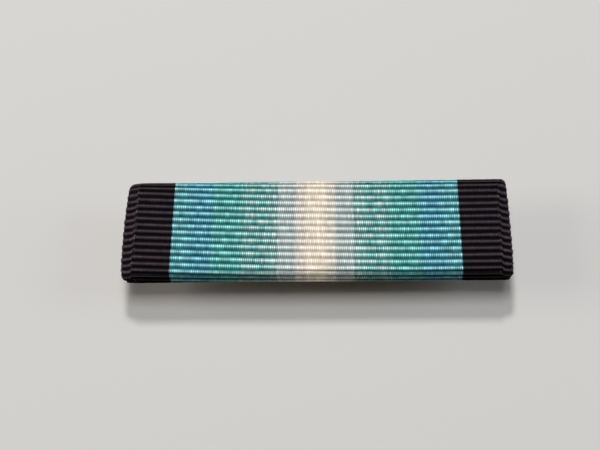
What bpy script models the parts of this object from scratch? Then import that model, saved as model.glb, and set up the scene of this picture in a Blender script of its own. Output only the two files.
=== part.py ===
"""Service ribbon bar: a woven ribbon unit that slides on a pin-back mounting bar.

The bar lies face up. +X runs along its length, +Y across it and +Z out of its face. The origin is
under the middle of the bar, on the plane that the pin fittings rest on. The named sizes below are
in millimetres, and MM turns them into metres.
"""
import math

import bmesh
import bpy
from mathutils import Matrix, Vector

MM = 0.001
COLLECTION = "service_ribbon_bar"

# Whole bar
LENGTH = 34.0
WIDTH = 9.53
TOP_Z = 4.35

# Sheet thicknesses and gaps
RIBBON_THICKNESS = 0.30
PLATE_THICKNESS = 0.25
BAR_THICKNESS = 0.50
GAP = 0.03
RUNNING_GAP = 0.05

# Ends of the ribbon and its plate, which are bent down
END_STEEP_SLOPE = math.radians(55.0)
END_GENTLE_SLOPE = math.radians(22.0)
END_BEND_LENGTH = 0.40
END_CREASE_X = LENGTH / 2 - 1.05
END_STEP_X = END_CREASE_X + 0.29
END_CORNER_RADIUS = 0.60
END_CORNER_FROM_Y = 3.2
END_CORNER_FULL_Y = 4.3
END_STEPS = 9
MIDDLE_STEPS = 4

# Ribbon section, from its outer face
RIBBON_ROLL_RADIUS = 0.45
RIBBON_DEPTH = 1.95
TAIL_CORNER_RADIUS = 0.10
TAIL_END_Y = 0.50
TAIL_REACH = 15.5

# Front plate, measured on its inner face
PLATE_INNER_RADIUS = 0.08
PLATE_DEPTH = 1.54
PLATE_REACH = 16.05
PLATE_FLANGE_REACH = 15.75

# Slide channel, measured on its inner face
CHANNEL_LIP_Y = 2.40
CHANNEL_REACH = 15.5

# Mounting bar
BAR_LENGTH = 31.0
BAR_WIDTH = 7.0
BAR_CORNER_RADIUS = 1.2
BAR_EDGE_BEVEL = 0.08

# Safety catch
CATCH_X = 11.5
HOUSING_RADIUS = 1.10
HOUSING_BORE = 0.86
HOUSING_LENGTH = 1.6
HOUSING_SLOT = 0.90
HOUSING_NECK = 1.2
ROTOR_RADIUS = 0.78
ROTOR_BORE = 0.42
ROTOR_SLOT = 0.80
ROTOR_FLANGE_RADIUS = 1.0
ROTOR_FLANGE_LENGTH = 0.25
ROTOR_END_LENGTH = 0.55
ROTOR_TAB_REACH = 1.22
ROTOR_TAB_HEIGHT = 0.45

# Hinge and pin
HINGE_X = -11.5
EAR_WIDTH = 1.8
EAR_INNER_Y = 0.55
EAR_OUTER_Y = 0.90
RIVET_RADIUS = 0.28
RIVET_HEAD_RADIUS = 0.52
RIVET_HEAD_HEIGHT = 0.20
EAR_HOLE_RADIUS = 0.31
PIN_RADIUS = 0.35
PIN_TIP_RADIUS = 0.05
PIN_TIP_LENGTH = 4.0
PIN_LENGTH = 25.6
EYE_RADIUS = 0.72
EYE_BORE = 0.36
EYE_WIDTH = 0.90
FOOT_LENGTH = 2.2
FOOT_WIDTH = 3.4
FOOT_THICKNESS = 0.30

# Heights that follow from the sizes above
PLATE_INNER_Z = TOP_Z - RIBBON_THICKNESS - GAP - PLATE_THICKNESS
TAIL_LOWER_Z = PLATE_INNER_Z - GAP - RIBBON_THICKNESS
CHANNEL_INNER_Z = TAIL_LOWER_Z - GAP - PLATE_THICKNESS
BAR_TOP_Z = CHANNEL_INNER_Z - RUNNING_GAP
BAR_BOTTOM_Z = BAR_TOP_Z - BAR_THICKNESS
LIP_UPPER_Z = BAR_BOTTOM_Z - RUNNING_GAP
FOOT_TOP_Z = BAR_BOTTOM_Z - GAP
FOOT_BOTTOM_Z = FOOT_TOP_Z - FOOT_THICKNESS
AXIS_Z = math.sqrt(HOUSING_RADIUS ** 2 - (HOUSING_SLOT / 2) ** 2)

# Distances from the middle plane that follow from the sizes above
PLATE_INNER_Y = WIDTH / 2 - RIBBON_THICKNESS - GAP - PLATE_THICKNESS
TAIL_WALL_Y = PLATE_INNER_Y - GAP - RIBBON_THICKNESS
CHANNEL_INNER_Y = TAIL_WALL_Y - GAP - PLATE_THICKNESS

ROUND_STEPS = 32
OVERCUT = 0.5


def clear_scene():
    for item in list(bpy.data.objects):
        bpy.data.objects.remove(item, do_unlink=True)


def new_collection(name):
    collection = bpy.data.collections.new(name)
    bpy.context.scene.collection.children.link(collection)
    return collection


def new_material(name, colour, roughness, metallic):
    material = bpy.data.materials.new(name)
    material.use_nodes = True
    shader = material.node_tree.nodes["Principled BSDF"]
    shader.inputs["Base Color"].default_value = (*colour, 1.0)
    shader.inputs["Roughness"].default_value = roughness
    shader.inputs["Metallic"].default_value = metallic
    material.diffuse_color = (*colour, 1.0)
    return material


def object_from_bmesh(name, mesh_data, collection):
    mesh = bpy.data.meshes.new(name)
    mesh_data.to_mesh(mesh)
    mesh_data.free()
    item = bpy.data.objects.new(name, mesh)
    collection.objects.link(item)
    return item


def shade_round(item, angle=math.radians(35.0)):
    item.data.shade_smooth()
    item.data.set_sharp_from_angle(angle=angle)


def arc(centre_y, centre_z, radius, start, end, steps):
    """Points on an arc, with angles in degrees from +Y towards +Z, both ends included."""
    points = []
    for step in range(steps + 1):
        angle = math.radians(start + (end - start) * step / steps)
        points.append((centre_y + radius * math.cos(angle), centre_z + radius * math.sin(angle)))
    return points


def end_drop(x, offset):
    """How far a sheet that lies offset below the ribbon's face has dropped at x.

    It bends steeply over the end of the core plate, and runs out gently past END_STEP_X.
    """
    start = END_CREASE_X - END_BEND_LENGTH / 2 - offset * math.tan(END_STEEP_SLOPE / 2)
    beyond = abs(x) - start
    if beyond <= 0.0:
        return 0.0
    if beyond < END_BEND_LENGTH:
        return math.tan(END_STEEP_SLOPE) * beyond ** 2 / (2 * END_BEND_LENGTH)
    steep = min(abs(x), END_STEP_X) - start - END_BEND_LENGTH / 2
    gentle = max(0.0, abs(x) - END_STEP_X)
    return math.tan(END_STEEP_SLOPE) * steep + math.tan(END_GENTLE_SLOPE) * gentle


def corner_inset(x, y):
    """How far a side wall has turned in at x, where the bar's plan corners are rounded."""
    beyond = abs(x) - (LENGTH / 2 - END_CORNER_RADIUS)
    if beyond <= 0.0:
        return 0.0
    share = (abs(y) - END_CORNER_FROM_Y) / (END_CORNER_FULL_Y - END_CORNER_FROM_Y)
    share = min(1.0, max(0.0, share))
    depth = END_CORNER_RADIUS - math.sqrt(max(0.0, END_CORNER_RADIUS ** 2 - beyond ** 2))
    return depth * share


def bend_ends(x, y, z, offset):
    """Moves a point of a straight folded sheet to where the bent and rounded ends take it."""
    full_drop_z = TOP_Z - max(offset, RIBBON_ROLL_RADIUS)
    no_drop_z = TOP_Z - RIBBON_DEPTH + RIBBON_ROLL_RADIUS
    share = min(1.0, max(0.0, (z - no_drop_z) / (full_drop_z - no_drop_z)))
    bent_y = y - math.copysign(corner_inset(x, y), y)
    return Vector((x, bent_y, z - share * end_drop(x, offset)))


def bent_end_shares():
    """Stations along a sheet, as shares of its reach, close together at its bent ends."""
    bend_share = (END_CREASE_X - END_BEND_LENGTH) / (LENGTH / 2)
    middle = [bend_share * step / MIDDLE_STEPS for step in range(MIDDLE_STEPS)]
    end = [bend_share + (1.0 - bend_share) * step / END_STEPS for step in range(END_STEPS + 1)]
    half = middle + end
    return [-share for share in reversed(half[1:])] + half


def folded_sheet(name, half_path, shares, offset, thickness, grow, collection):
    """A sheet folded along a section path and run along X, as an open surface with Solidify.

    half_path holds (y, z, reach) from the middle of the face outwards, and is mirrored. shares
    holds the stations along X, as shares of the reach.
    """
    path = [(-y, z, reach) for y, z, reach in reversed(half_path[1:])] + half_path
    columns = len(shares) - 1
    rows = len(path) - 1
    sheet = bmesh.new()
    bmesh.ops.create_grid(sheet, x_segments=columns, y_segments=rows, size=1.0)
    for vertex in sheet.verts:
        share = shares[round((vertex.co.x + 1.0) / 2.0 * columns)]
        y, z, reach = path[round((vertex.co.y + 1.0) / 2.0 * rows)]
        vertex.co = bend_ends(share * reach, y, z, offset) * MM
    item = object_from_bmesh(name, sheet, collection)
    shade_round(item)
    solidify = item.modifiers.new("thickness", "SOLIDIFY")
    solidify.thickness = thickness * MM
    solidify.offset = grow
    solidify.use_even_offset = True
    return item


def with_reach(points, reach):
    return [(y, z, reach) for y, z in points]


def make_ribbon(collection):
    """The ribbon's outer face: top, rolled edge, side, turn under the plate, and tucked tail."""
    half = LENGTH / 2
    turn_radius = RIBBON_THICKNESS + GAP + PLATE_THICKNESS / 2
    turn_y = WIDTH / 2 - turn_radius
    turn_z = TOP_Z - RIBBON_DEPTH + turn_radius
    roll_y = WIDTH / 2 - RIBBON_ROLL_RADIUS
    face = [(0.0, TOP_Z, half), (END_CORNER_FROM_Y, TOP_Z, half)]
    roll = with_reach(arc(roll_y, TOP_Z - RIBBON_ROLL_RADIUS, RIBBON_ROLL_RADIUS, 90, 0, 5), half)
    turn = arc(turn_y, turn_z, turn_radius, 0, -180, 8)
    turn_path = []
    for step, (y, z) in enumerate(turn):
        reach = half + (TAIL_REACH - half) * step / (len(turn) - 1)
        turn_path.append((y, z, reach))
    corner_y = TAIL_WALL_Y - TAIL_CORNER_RADIUS
    corner_z = TAIL_LOWER_Z - TAIL_CORNER_RADIUS
    corner = with_reach(arc(corner_y, corner_z, TAIL_CORNER_RADIUS, 0, 90, 3), TAIL_REACH)
    tail_end = [(TAIL_END_Y, TAIL_LOWER_Z, TAIL_REACH)]
    half_path = face + roll + turn_path + corner + tail_end
    shares = bent_end_shares()
    return folded_sheet("ribbon", half_path, shares, 0.0, RIBBON_THICKNESS, -1.0, collection)


def make_front_plate(collection):
    """The formed core plate: a shallow tray, open below, with its ends bent down."""
    corner_y = PLATE_INNER_Y - PLATE_INNER_RADIUS
    corner_z = PLATE_INNER_Z - PLATE_INNER_RADIUS
    face = [(0.0, PLATE_INNER_Z, PLATE_REACH), (END_CORNER_FROM_Y, PLATE_INNER_Z, PLATE_REACH)]
    corner = with_reach(arc(corner_y, corner_z, PLATE_INNER_RADIUS, 90, 0, 4), PLATE_FLANGE_REACH)
    flange = [(PLATE_INNER_Y, TOP_Z - PLATE_DEPTH, PLATE_FLANGE_REACH)]
    offset = TOP_Z - PLATE_INNER_Z
    half_path = face + corner + flange
    shares = bent_end_shares()
    return folded_sheet("front_plate", half_path, shares, offset, PLATE_THICKNESS, 1.0, collection)


def make_slide_channel(collection):
    """The back plate that clamps the ribbon's tails, with lips that hold the mounting bar."""
    radius = PLATE_INNER_RADIUS
    corner_y = CHANNEL_INNER_Y - radius
    face = [(0.0, CHANNEL_INNER_Z, CHANNEL_REACH)]
    upper = with_reach(arc(corner_y, CHANNEL_INNER_Z - radius, radius, 90, 0, 4), CHANNEL_REACH)
    lower = with_reach(arc(corner_y, LIP_UPPER_Z + radius, radius, 0, -90, 4), CHANNEL_REACH)
    lip = [(CHANNEL_LIP_Y, LIP_UPPER_Z, CHANNEL_REACH)]
    half_path = face + upper + lower + lip
    shares = [-1.0, 0.0, 1.0]
    return folded_sheet("slide_channel", half_path, shares, 0.0, PLATE_THICKNESS, 1.0, collection)


def make_mounting_bar(collection):
    """A flat strip with rounded plan corners."""
    corner_x = BAR_LENGTH / 2 - BAR_CORNER_RADIUS
    corner_y = BAR_WIDTH / 2 - BAR_CORNER_RADIUS
    points = []
    for sign_x, sign_y, start in ((1, 1, 0), (-1, 1, 90), (-1, -1, 180), (1, -1, 270)):
        centre = (sign_x * corner_x, sign_y * corner_y)
        points += arc(*centre, BAR_CORNER_RADIUS, start, start + 90, 6)
    outline = bpy.data.curves.new("mounting_bar", "CURVE")
    outline.dimensions = "2D"
    outline.fill_mode = "BOTH"
    outline.extrude = BAR_THICKNESS / 2 * MM
    spline = outline.splines.new("POLY")
    spline.points.add(len(points) - 1)
    for point, (x, y) in zip(spline.points, points):
        point.co = (x * MM, y * MM, 0.0, 1.0)
    spline.use_cyclic_u = True
    item = bpy.data.objects.new("mounting_bar", outline)
    collection.objects.link(item)
    item.location.z = (BAR_BOTTOM_Z + BAR_TOP_Z) / 2 * MM
    item = curve_to_mesh(item)
    bevel = item.modifiers.new("edges", "BEVEL")
    bevel.width = BAR_EDGE_BEVEL * MM
    bevel.segments = 2
    return item


def curve_to_mesh(item):
    """Replaces a curve object by a mesh object with welded caps, at the same place."""
    bpy.context.view_layer.update()
    evaluated = item.evaluated_get(bpy.context.evaluated_depsgraph_get())
    mesh = bpy.data.meshes.new_from_object(evaluated)
    welded = bmesh.new()
    welded.from_mesh(mesh)
    bmesh.ops.remove_doubles(welded, verts=welded.verts, dist=GAP * MM / 100)
    bmesh.ops.recalc_face_normals(welded, faces=welded.faces)
    welded.to_mesh(mesh)
    welded.free()
    name = item.name
    collection = item.users_collection[0]
    matrix = item.matrix_world.copy()
    bpy.data.objects.remove(item, do_unlink=True)
    solid = bpy.data.objects.new(name, mesh)
    solid.matrix_world = matrix
    collection.objects.link(solid)
    return solid


def box(name, low, high, collection):
    """A box between two corners given in millimetres."""
    size = [upper - lower for lower, upper in zip(low, high)]
    centre = [(upper + lower) / 2 for lower, upper in zip(low, high)]
    solid = bmesh.new()
    bmesh.ops.create_cube(solid, size=1.0)
    bmesh.ops.scale(solid, vec=Vector(size) * MM, verts=solid.verts)
    item = object_from_bmesh(name, solid, collection)
    item.location = Vector(centre) * MM
    return item


def rod(name, axis, centre, radius, length, collection):
    """A cylinder along X or Y, with its centre and sizes in millimetres."""
    turns = {"X": Matrix.Rotation(math.pi / 2, 4, "Y"), "Y": Matrix.Rotation(math.pi / 2, 4, "X")}
    solid = bmesh.new()
    bmesh.ops.create_cone(
        solid,
        cap_ends=True,
        segments=ROUND_STEPS,
        radius1=radius * MM,
        radius2=radius * MM,
        depth=length * MM,
        matrix=turns[axis],
    )
    item = object_from_bmesh(name, solid, collection)
    item.location = Vector(centre) * MM
    shade_round(item)
    return item


def combine(item, others, operation, cutters):
    """Adds one Boolean for each of the other solids, which become guides."""
    for other in others:
        for owner in list(other.users_collection):
            owner.objects.unlink(other)
        cutters.objects.link(other)
        other.hide_render = True
        other.display_type = "WIRE"
        boolean = item.modifiers.new(other.name, "BOOLEAN")
        boolean.operation = operation
        boolean.solver = "EXACT"
        boolean.object = other
    return item


def foot(name, x, collection):
    """The flat foot that is soldered under the mounting bar."""
    low = (x - FOOT_LENGTH / 2, -FOOT_WIDTH / 2, FOOT_BOTTOM_Z)
    high = (x + FOOT_LENGTH / 2, FOOT_WIDTH / 2, FOOT_TOP_Z)
    return box(name, low, high, collection)


def make_hinge_bracket(collection, cutters):
    """A foot with two round-ended ears, drilled for the rivet."""
    item = foot("hinge_bracket", HINGE_X, collection)
    half = EAR_WIDTH / 2
    block_low = (HINGE_X - half, -EAR_OUTER_Y, half)
    block_high = (HINGE_X + half, EAR_OUTER_Y, FOOT_TOP_Z - FOOT_THICKNESS / 2)
    block = box("ear_block", block_low, block_high, collection)
    nose = rod("ear_nose", "Y", (HINGE_X, 0.0, half), half, 2 * EAR_OUTER_Y, collection)
    combine(item, [block, nose], "UNION", cutters)
    gap_low = (HINGE_X - half - OVERCUT, -EAR_INNER_Y, -OVERCUT)
    gap_high = (HINGE_X + half + OVERCUT, EAR_INNER_Y, FOOT_BOTTOM_Z - GAP)
    gap = box("ear_gap", gap_low, gap_high, collection)
    drill_length = 2 * (EAR_OUTER_Y + OVERCUT)
    drill = rod("ear_drill", "Y", (HINGE_X, 0.0, AXIS_Z), EAR_HOLE_RADIUS, drill_length, collection)
    return combine(item, [gap, drill], "DIFFERENCE", cutters)


def make_hinge_rivet(collection):
    """A turned rivet with a domed head at each end, along Y."""
    head_y = EAR_OUTER_Y + GAP
    crown = head_y + RIVET_HEAD_HEIGHT
    flat_radius = RIVET_HEAD_RADIUS * 0.5
    upper = [
        (0.0, crown),
        (flat_radius, crown - RIVET_HEAD_HEIGHT * 0.1),
        (RIVET_HEAD_RADIUS * 0.85, crown - RIVET_HEAD_HEIGHT * 0.45),
        (RIVET_HEAD_RADIUS, head_y),
        (RIVET_RADIUS, head_y),
    ]
    profile = upper + [(radius, -height) for radius, height in reversed(upper)]
    mesh = bpy.data.meshes.new("hinge_rivet")
    points = [(radius * MM, 0.0, height * MM) for radius, height in profile]
    edges = [(index, index + 1) for index in range(len(points) - 1)]
    mesh.from_pydata(points, edges, [])
    item = bpy.data.objects.new("hinge_rivet", mesh)
    collection.objects.link(item)
    item.location = Vector((HINGE_X, 0.0, AXIS_Z)) * MM
    item.rotation_euler = (math.pi / 2, 0.0, 0.0)
    screw = item.modifiers.new("turn", "SCREW")
    screw.steps = ROUND_STEPS
    screw.render_steps = ROUND_STEPS
    screw.use_merge_vertices = True
    screw.merge_threshold = GAP * MM / 100
    screw.use_smooth_shade = True
    return item


def make_brooch_pin(collection, cutters):
    """A steel wire with a flattened eye at the hinge and a ground point at the catch."""
    wire = bpy.data.curves.new("brooch_pin", "CURVE")
    wire.dimensions = "3D"
    wire.bevel_depth = PIN_RADIUS * MM
    wire.bevel_resolution = 4
    wire.use_fill_caps = True
    spline = wire.splines.new("POLY")
    tip_steps = 4
    stations = [(EYE_BORE + GAP, 1.0), (PIN_LENGTH - PIN_TIP_LENGTH, 1.0)]
    for step in range(1, tip_steps + 1):
        share = step / tip_steps
        radius = 1.0 + (PIN_TIP_RADIUS / PIN_RADIUS - 1.0) * share ** 2
        stations.append((PIN_LENGTH - PIN_TIP_LENGTH * (1.0 - share), radius))
    spline.points.add(len(stations) - 1)
    for point, (x, radius) in zip(spline.points, stations):
        point.co = (x * MM, 0.0, 0.0, 1.0)
        point.radius = radius
    item = bpy.data.objects.new("brooch_pin", wire)
    collection.objects.link(item)
    item.location = Vector((HINGE_X, 0.0, AXIS_Z)) * MM
    item = curve_to_mesh(item)
    shade_round(item)
    hinge = (HINGE_X, 0.0, AXIS_Z)
    eye = rod("pin_eye", "Y", hinge, EYE_RADIUS, EYE_WIDTH, collection)
    combine(item, [eye], "UNION", cutters)
    bore = rod("pin_bore", "Y", hinge, EYE_BORE, EYE_WIDTH + 2 * OVERCUT, collection)
    return combine(item, [bore], "DIFFERENCE", cutters)


def slot_cutter(name, low_x, high_x, width, collection):
    """A straight slot from the catch's axis down through its wall."""
    low = (low_x - OVERCUT, -width / 2, AXIS_Z - HOUSING_RADIUS - OVERCUT)
    high = (high_x + OVERCUT, width / 2, AXIS_Z)
    return box(name, low, high, collection)


def make_catch_housing(collection, cutters):
    """A foot, a neck and a tube along X that is slotted below, where the pin comes in."""
    item = foot("catch_housing", CATCH_X, collection)
    low_x = CATCH_X - HOUSING_LENGTH / 2
    high_x = CATCH_X + HOUSING_LENGTH / 2
    neck_half = HOUSING_NECK / 2
    neck_low = (CATCH_X - neck_half, -neck_half, AXIS_Z + ROTOR_RADIUS / 2)
    neck_high = (CATCH_X + neck_half, neck_half, FOOT_TOP_Z - FOOT_THICKNESS / 2)
    neck = box("catch_neck", neck_low, neck_high, collection)
    centre = (CATCH_X, 0.0, AXIS_Z)
    tube = rod("catch_tube", "X", centre, HOUSING_RADIUS, HOUSING_LENGTH, collection)
    combine(item, [neck, tube], "UNION", cutters)
    bore_length = HOUSING_LENGTH + 2 * OVERCUT
    bore = rod("catch_bore", "X", centre, HOUSING_BORE, bore_length, collection)
    slot = slot_cutter("catch_slot", low_x, high_x, HOUSING_SLOT, collection)
    return combine(item, [bore, slot], "DIFFERENCE", cutters)


def make_catch_rotor(collection, cutters):
    """A slotted tube that turns in the housing, with a flange at one end and a thumb tab."""
    flange_low = CATCH_X - HOUSING_LENGTH / 2 - RUNNING_GAP - ROTOR_FLANGE_LENGTH
    end_low = CATCH_X + HOUSING_LENGTH / 2 + RUNNING_GAP
    end_high = end_low + ROTOR_END_LENGTH
    length = end_high - flange_low
    centre = ((flange_low + end_high) / 2, 0.0, AXIS_Z)
    item = rod("catch_rotor", "X", centre, ROTOR_RADIUS, length, collection)
    flange_centre = (flange_low + ROTOR_FLANGE_LENGTH / 2, 0.0, AXIS_Z)
    flange = rod(
        "rotor_flange", "X", flange_centre, ROTOR_FLANGE_RADIUS, ROTOR_FLANGE_LENGTH, collection
    )
    end_centre = (end_low + ROTOR_END_LENGTH / 2, 0.0, AXIS_Z)
    collar = rod("rotor_collar", "X", end_centre, ROTOR_FLANGE_RADIUS, ROTOR_END_LENGTH, collection)
    tab_low = (end_low + GAP, 0.0, AXIS_Z - ROTOR_TAB_HEIGHT / 2)
    tab_high = (end_high - GAP, ROTOR_TAB_REACH, AXIS_Z + ROTOR_TAB_HEIGHT / 2)
    tab = box("rotor_tab", tab_low, tab_high, collection)
    combine(item, [flange, collar, tab], "UNION", cutters)
    bore_length = length + 2 * OVERCUT
    bore = rod("rotor_bore", "X", centre, ROTOR_BORE, bore_length, collection)
    slot = slot_cutter("rotor_slot", flange_low, end_high, ROTOR_SLOT, collection)
    return combine(item, [bore, slot], "DIFFERENCE", cutters)


def main():
    clear_scene()
    parts = new_collection(COLLECTION)
    cutters = new_collection("cutters")
    woven = new_material("woven_ribbon", (0.10, 0.32, 0.33), 0.75, 0.0)
    brass = new_material("plate_brass", (0.72, 0.55, 0.25), 0.35, 1.0)
    bar_brass = new_material("bar_brass", (0.74, 0.60, 0.33), 0.30, 1.0)
    fitting = new_material("fitting_nickel", (0.66, 0.63, 0.58), 0.28, 1.0)
    steel = new_material("pin_steel", (0.60, 0.60, 0.61), 0.22, 1.0)
    finishes = [
        (make_ribbon(parts), woven),
        (make_front_plate(parts), brass),
        (make_slide_channel(parts), brass),
        (make_mounting_bar(parts), bar_brass),
        (make_hinge_bracket(parts, cutters), fitting),
        (make_hinge_rivet(parts), steel),
        (make_brooch_pin(parts, cutters), steel),
        (make_catch_housing(parts, cutters), fitting),
        (make_catch_rotor(parts, cutters), fitting),
    ]
    for item, material in finishes:
        item.data.materials.clear()
        item.data.materials.append(material)


main()
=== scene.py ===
"""Looks of the service ribbon bar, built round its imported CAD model.

The ribbon is one woven sheet: weft cords make its ribs, and fine warp threads run over them and
carry the stripes. It is folded over the CAD plate and channel. The metal parts are the CAD's own,
with eased edges and two added fillets of solder.
Lengths are in millimetres, and MM turns them into metres.
"""
import math

import bmesh
import bpy
import numpy as np
from mathutils import Euler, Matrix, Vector


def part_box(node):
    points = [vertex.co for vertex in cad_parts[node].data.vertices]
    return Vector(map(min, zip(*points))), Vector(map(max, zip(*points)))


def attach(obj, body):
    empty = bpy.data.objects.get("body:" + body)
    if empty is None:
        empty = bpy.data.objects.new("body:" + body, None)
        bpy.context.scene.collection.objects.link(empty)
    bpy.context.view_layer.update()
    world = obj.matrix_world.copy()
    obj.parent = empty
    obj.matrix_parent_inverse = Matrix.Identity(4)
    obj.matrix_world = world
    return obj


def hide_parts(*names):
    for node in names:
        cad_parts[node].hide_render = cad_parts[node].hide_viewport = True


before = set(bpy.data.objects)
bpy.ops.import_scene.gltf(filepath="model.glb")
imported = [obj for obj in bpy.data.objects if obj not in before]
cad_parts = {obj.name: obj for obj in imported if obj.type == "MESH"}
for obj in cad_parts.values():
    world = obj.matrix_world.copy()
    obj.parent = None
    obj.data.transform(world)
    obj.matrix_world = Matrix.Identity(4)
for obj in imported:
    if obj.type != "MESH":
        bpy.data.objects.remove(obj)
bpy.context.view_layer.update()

MM = 0.001

# The ribbon as woven, before it is folded. The ribs' pitch, bow, slant and start are rounded
# results of a fit to points read off the photograph
CUT_WIDTH = 34.93
RIBBON_THICKNESS = 0.30
RIB_PITCH = 0.6464
RIB_HEIGHT = 0.24
RIB_NARROWNESS = 1.96
RIB_HEIGHT_VARIATION = 0.10
RIB_WANDER = 0.018
RIB_WANDER_KNOTS = 9
THREAD_HEIGHT_VARIATION = 0.010
RIB_BOW = 0.16
RIB_BOW_HALF_WIDTH = 12.7
RIB_SKEW = math.tan(math.radians(-1.39))
RIB_START_Y = -0.175
BACK_CROWDING = 0.70
BACK_CROWDING_FROM = 3.36
BACK_CROWDING_TO = 5.30
BACK_FLATTEN = 0.45
THREADS_PER_SIDE = 98
THREAD_PITCH = CUT_WIDTH / 2 / THREADS_PER_SIDE

# The ribbon as folded, from its outer face
ROLL_RADIUS = 0.45
TURN_RADIUS = 0.455
TUCK_CORNER_RADIUS = 0.10
TAIL_DEPTH = 0.91
TAIL_END_Y = 0.50
TAIL_HALF_WIDTH = 15.5
TAIL_HEIGHT_SHARE = 0.5
TAIL_FADE_LENGTH = 0.4

# The ribbon's ends: creased over the end of the plate, then run out gently to a curled selvedge
LEFT_CREASE_X = 15.95
RIGHT_CREASE_X = 16.08
RIGHT_CREASE_SLANT = 0.030
CREASE_LENGTH = 0.16
STEEP_LENGTH = 0.54
STEEP_SLOPE = math.radians(56.0)
GENTLE_SLOPE = math.radians(21.0)
CURL_LENGTH = 0.22
CURL_DROP = 0.10
END_PROFILE_LENGTH = 3.0
END_PROFILE_STEPS = 1200
LEFT_END_BOW = 0.15
RIGHT_END_BOW = 0.08
END_BOW_HALF_WIDTH = 4.765

# The plan corners, and how the folded sides splay or narrow towards them
BACK_CORNER_RADIUS = 0.50
FRONT_CORNER_RADIUS = 0.55
CORNER_SHARE = 0.96
CORNER_FROM_Y = 3.2
CORNER_FULL_Y = 4.3
LEFT_BACK_FLARE = 0.24
RIGHT_BACK_FLARE = 0.32
FLARE_LENGTH = 0.90
LEFT_SIDE_TAPER = 0.60
RIGHT_SIDE_TAPER = 0.32
SIDE_TAPER_FROM = 14.6
SELVEDGE_LOOP = 0.012
SELVEDGE_LOOP_LENGTH = 0.35
SELVEDGE_BULGE = 0.03
SELVEDGE_FROM = 16.8
SELVEDGE_FLATTEN = 0.60
BEAD_DEPTH = 0.035

# Metal fittings
EASED_EDGE = 0.03
SOLDER_CORNER = 0.20
SOLDER_SPREAD = 0.30
SOLDER_CLIMB = 0.26
SOLDER_SPACING = 0.12
SOLDER_CORNER_POINTS = 7
SOLDER_SECTION_POINTS = 8
SOLDER_OVERLAP = 0.05
SOLDER_SPREAD_VARIATION = 0.30
SOLDER_CLIMB_VARIATION = 0.25
SOLDER_POINTS_PER_KNOT = 6
SOLDER_SEAM_POINTS = 6
EASED_EDGE_ANGLE = math.radians(40.0)
SOFT_EDGE = 0.05

# Mesh density
ROWS_PER_RIB = 8
TAIL_ROWS_PER_RIB = 4
INNER_ROW_STEP = 4
INNER_COLUMN_STEP = 6
END_COLUMNS = 24
END_COLUMN_STEP = 3

SEED = 7

# Stripes from the middle outwards: distance of the outer edge from the middle, the width over
# which it blends into the next stripe, and the threads' colour on top of a rib and between ribs.
# The colour on top carries a painted highlight, and the colour between ribs is painted shade
STRIPES = [
    (0.80, 0.30, (0.92, 0.855, 0.75), (0.555, 0.48, 0.39)),
    (1.00, 0.10, (0.89, 0.84, 0.75), (0.44, 0.40, 0.35)),
    (1.80, 0.30, (0.92, 0.89, 0.82), (0.38, 0.36, 0.32)),
    (3.38, 0.16, (0.81, 0.875, 0.855), (0.20, 0.25, 0.25)),
    (9.14, 0.60, (0.49, 0.87, 0.83), (0.018, 0.125, 0.122)),
    (11.18, 0.60, (0.48, 0.83, 0.88), (0.014, 0.092, 0.138)),
    (12.64, 0.03, (0.52, 0.90, 0.93), (0.020, 0.110, 0.134)),
    (18.00, 0.00, (0.047, 0.032, 0.046), (0.0016, 0.0008, 0.0016)),
]
# Light threads woven into the green beside the white: distance from the middle, and how light the
# threads are there where they show on even ribs and on odd ribs. The rows were condensed
# from colour averages measured in the photograph, and are interpolated between
LIGHT_GROUPS = [
    (3.34, 0.00, 0.00),
    (3.50, 0.60, 1.00),
    (3.76, 0.62, 0.98),
    (3.96, 0.30, 0.42),
    (4.20, 0.85, 0.60),
    (4.42, 0.22, 0.45),
    (4.63, 0.00, 0.85),
    (4.88, 0.00, 0.46),
    (5.13, 0.45, 0.42),
    (5.36, 0.36, 0.00),
    (5.58, 0.85, 0.15),
    (5.95, 0.42, 0.40),
    (6.20, 0.34, 0.36),
    (6.55, 0.02, 0.28),
    (6.90, 0.00, 0.00),
]
# Light threads' colour on top of a rib, and between ribs, where it is darker as painted shade
LIGHT_THREAD = (0.86, 0.98, 0.95)
LIGHT_THREAD_VALLEY_SHADE = (0.105, 0.18, 0.18)
# Painted light: factors that make the bent-down ends' colour lighter
END_PAINTED_LIGHT = (1.50, 1.38, 1.38)
CORE_THREAD = (0.46, 0.36, 0.30)
LINT = (0.50, 0.46, 0.43)
SWELL = 0.14
SWELL_PITCH = 1.68
SWELL_CREST = 7.75
# Painted highlight and shade: how sharply the colour falls from a rib's top to its valley, the
# painted shade between threads, and the painted shade along the crease
CREST_SHARPNESS = 1.02
GROOVE_SHADE_DEPTH = 0.50
GROOVE_SHADE = 0.88
CREASE_SHADE = 0.35
CREST_SPECULAR = 0.22
VALLEY_SPECULAR = 0.03
# Painted shade and light on the folded sides: darker for dark stripes and lighter for the cream,
# mapped from the colour between ribs, with less gloss there
SIDE_SHADE = (0.40, -0.42)
SIDE_SPECULAR = 0.10
CREASE_SHADE_PLACE = 0.12
CREASE_SHADE_WIDTH = 0.10
SHELTER_BEFORE_WALL = 0.2
SHELTER_LENGTH = 0.3
SWELL_FULL_REACH = 0.40
UNEVEN_FROM = 2.4
UNEVEN_TO = 3.6
UNEVEN_SHARES = (0.20, 0.46)
BEAD_ROUNDNESS = 0.26
BEAD_BUMP = 0.10
FIBRE_BUMP = 0.006
GLOSS_DEPTH = 0.7

# A stride that keeps neighbouring threads' random values apart, and an offset that keeps the light
# threads' values apart from them
THREAD_STRIDE = 0.731
LIGHT_OFFSET = 0.37

# Noise cycles a millimetre across and along the ribbon
FIBRE_GRAIN = (40.0, 3.0, 1.0)
CREASE_GRAIN = (8.0, 3.1, 1.0)
LINT_GRAIN = (3.3, 2.6, 1.0)
PATCH_GRAIN = (0.9, 1.7, 1.0)

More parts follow.
